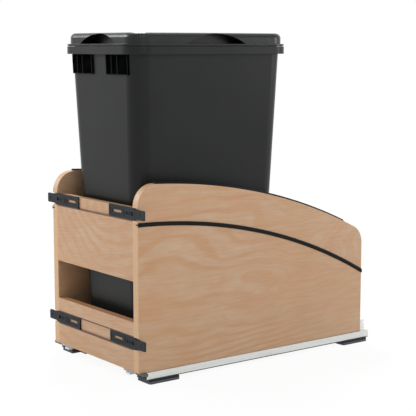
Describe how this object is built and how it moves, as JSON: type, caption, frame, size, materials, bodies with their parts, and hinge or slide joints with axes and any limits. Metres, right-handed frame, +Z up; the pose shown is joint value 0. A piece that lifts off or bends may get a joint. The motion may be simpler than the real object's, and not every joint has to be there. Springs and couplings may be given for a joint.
{
  "type": "pull out trash cabinet",
  "caption": "Plywood pull out waste unit on floor-mounted telescoping slides, with arched side boards, front window, door brackets, a tapered bin and a lid with finger recesses",
  "frame": {"origin": "centre of the overall footprint, on the cabinet floor that the foot pads stand on", "axes": "+X across the unit to its right-hand side seen from behind the door, -Y forward along the pull-out travel towards the cabinet door, +Z up"},
  "size_m": [0.346, 0.574, 0.6373],
  "materials": {
    "wood": "clear coated birch plywood",
    "black_trim": "matte black edge moulding",
    "black_steel": "black powder coat",
    "zinc_steel": "zinc plated",
    "bin_plastic": "fine matte, dark grey",
    "grip_plastic": "matte black",
    "clip_plastic": "moulded, dark grey",
    "cage_plastic": "natural"
  },
  "bodies": {
    "base": {"cabinet_member_left": "zinc_steel", "cabinet_member_right": "zinc_steel", "foot_pad_front_left": "clip_plastic", "foot_pad_front_right": "clip_plastic", "foot_pad_rear_left": "clip_plastic", "foot_pad_rear_right": "clip_plastic", "pad_rivets": "zinc_steel", "damper_housing_left": "clip_plastic", "damper_housing_right": "clip_plastic"},
    "carriage": {"side_panel_left": "wood", "side_panel_right": "wood", "front_board_lower": "wood", "front_board_upper": "wood", "back_board": "wood", "bottom_panel": "wood", "divider_panel": "wood", "bin_locating_cleats": "wood", "box_dowels": "wood", "top_trim_left": "black_trim", "top_trim_right": "black_trim", "side_strip_left": "black_trim", "side_strip_right": "black_trim", "drawer_member_left": "zinc_steel", "drawer_member_right": "zinc_steel", "locking_clip_left": "clip_plastic", "locking_clip_right": "clip_plastic", "slide_screws": "zinc_steel", "clip_screws": "zinc_steel", "damper_striker_left": "clip_plastic", "damper_striker_right": "clip_plastic"},
    "bin": {"bin_body": "bin_plastic", "bin_rim": "bin_plastic", "bin_grips": "grip_plastic"},
    "lid": {"bin_lid": "bin_plastic"},
    "intermediate_left": {"intermediate_member_left": "zinc_steel"},
    "lower_cage_left": {"roller_cage_lower_left": "cage_plastic", "rollers_lower_left": "zinc_steel"},
    "upper_cage_left": {"roller_cage_upper_left": "cage_plastic", "rollers_upper_left": "zinc_steel"},
    "damper_piston_left": {"damper_rod_left": "zinc_steel"},
    "lever_left": {"release_lever_left": "clip_plastic"},
    "bracket_lower_left": {"door_bracket_lower_left": "black_steel", "bracket_screw_lower_left": "zinc_steel"},
    "bracket_upper_left": {"door_bracket_upper_left": "black_steel", "bracket_screw_upper_left": "zinc_steel"},
    "intermediate_right": {"intermediate_member_right": "zinc_steel"},
    "lower_cage_right": {"roller_cage_lower_right": "cage_plastic", "rollers_lower_right": "zinc_steel"},
    "upper_cage_right": {"roller_cage_upper_right": "cage_plastic", "rollers_upper_right": "zinc_steel"},
    "damper_piston_right": {"damper_rod_right": "zinc_steel"},
    "lever_right": {"release_lever_right": "clip_plastic"},
    "bracket_lower_right": {"door_bracket_lower_right": "black_steel", "bracket_screw_lower_right": "zinc_steel"},
    "bracket_upper_right": {"door_bracket_upper_right": "black_steel", "bracket_screw_upper_right": "zinc_steel"}
  },
  "joints": [
    {"name": "drawer_slide", "type": "slide", "parent": "base", "child": "carriage", "axis": [0, -1, 0], "range_m": [0, 0.53]},
    {"name": "bin_lift", "type": "slide", "parent": "carriage", "child": "bin", "axis": [0, 0, 1], "range_m": [0, 0.34]},
    {"name": "lid_lift", "type": "slide", "parent": "bin", "child": "lid", "axis": [0, 0, 1], "range_m": [0, 0.06]},
    {"name": "intermediate_slide_left", "type": "slide", "parent": "base", "child": "intermediate_left", "axis": [0, -1, 0], "range_m": [0, 0.265]},
    {"name": "lower_cage_slide_left", "type": "slide", "parent": "base", "child": "lower_cage_left", "axis": [0, -1, 0], "range_m": [0, 0.1325]},
    {"name": "upper_cage_slide_left", "type": "slide", "parent": "base", "child": "upper_cage_left", "axis": [0, -1, 0], "range_m": [0, 0.3975]},
    {"name": "damper_stroke_left", "type": "slide", "parent": "base", "child": "damper_piston_left", "axis": [0, -1, 0], "range_m": [0, 0.045]},
    {"name": "lever_hinge_left", "type": "hinge", "parent": "carriage", "child": "lever_left", "pos_m": [-0.112, -0.237, 0.01485], "axis": [0, 0, 1], "range_deg": [0, 8], "stiffness_Nm_per_rad": 0.15, "springref_deg": -4.58},
    {"name": "bracket_adjust_lower_left", "type": "slide", "parent": "carriage", "child": "bracket_lower_left", "axis": [-1, 0, 0], "range_m": [-0.003, 0.003]},
    {"name": "bracket_adjust_upper_left", "type": "slide", "parent": "carriage", "child": "bracket_upper_left", "axis": [-1, 0, 0], "range_m": [-0.003, 0.003]},
    {"name": "intermediate_slide_right", "type": "slide", "parent": "base", "child": "intermediate_right", "axis": [0, -1, 0], "range_m": [0, 0.265]},
    {"name": "lower_cage_slide_right", "type": "slide", "parent": "base", "child": "lower_cage_right", "axis": [0, -1, 0], "range_m": [0, 0.1325]},
    {"name": "upper_cage_slide_right", "type": "slide", "parent": "base", "child": "upper_cage_right", "axis": [0, -1, 0], "range_m": [0, 0.3975]},
    {"name": "damper_stroke_right", "type": "slide", "parent": "base", "child": "damper_piston_right", "axis": [0, -1, 0], "range_m": [0, 0.045]},
    {"name": "lever_hinge_right", "type": "hinge", "parent": "carriage", "child": "lever_right", "pos_m": [0.112, -0.237, 0.01485], "axis": [0, 0, 1], "range_deg": [-8, 0], "stiffness_Nm_per_rad": 0.15, "springref_deg": 4.58},
    {"name": "bracket_adjust_lower_right", "type": "slide", "parent": "carriage", "child": "bracket_lower_right", "axis": [1, 0, 0], "range_m": [-0.003, 0.003]},
    {"name": "bracket_adjust_upper_right", "type": "slide", "parent": "carriage", "child": "bracket_upper_right", "axis": [1, 0, 0], "range_m": [-0.003, 0.003]}
  ],
  "couplings": [
    {"joint": "intermediate_slide_left", "follows": "drawer_slide", "ratio": 0.5},
    {"joint": "lower_cage_slide_left", "follows": "drawer_slide", "ratio": 0.25},
    {"joint": "upper_cage_slide_left", "follows": "drawer_slide", "ratio": 0.75},
    {"joint": "damper_stroke_left", "follows": "drawer_slide", "ratio": 0.0849},
    {"joint": "intermediate_slide_right", "follows": "drawer_slide", "ratio": 0.5},
    {"joint": "lower_cage_slide_right", "follows": "drawer_slide", "ratio": 0.25},
    {"joint": "upper_cage_slide_right", "follows": "drawer_slide", "ratio": 0.75},
    {"joint": "damper_stroke_right", "follows": "drawer_slide", "ratio": 0.0849}
  ]
}
